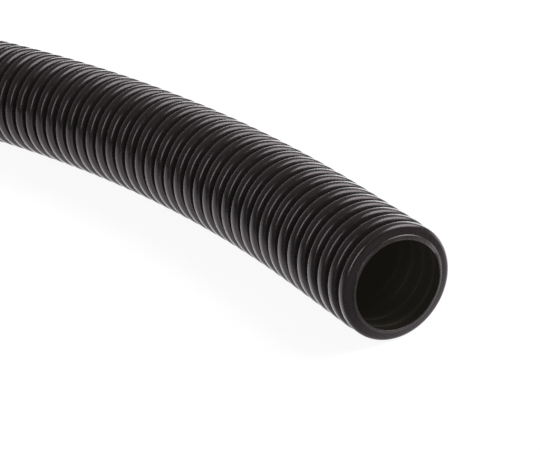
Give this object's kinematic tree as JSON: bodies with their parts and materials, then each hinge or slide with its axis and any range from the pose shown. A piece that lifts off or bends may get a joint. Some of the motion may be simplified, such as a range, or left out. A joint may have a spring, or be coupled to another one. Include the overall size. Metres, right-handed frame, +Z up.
{
  "type": "corrugated conduit",
  "caption": "Black corrugated flexible plastic conduit for protecting cables, cut to length and lying flat in a wide half-circle bend, with both round ends open.",
  "frame": {"origin": "on the floor, under the middle of the box round the whole conduit", "axes": "+Z up, +Y from the two cut ends towards the outside of the bend, +X towards the end that is nearest in the picture, so that the conduit starts at +X and turns left to -X"},
  "size_m": [0.6276, 0.3376, 0.0212],
  "materials": {
    "black_nylon": "semi-gloss moulded black"
  },
  "bodies": {
    "root": {"conduit": "black_nylon"}
  },
  "joints": []
}
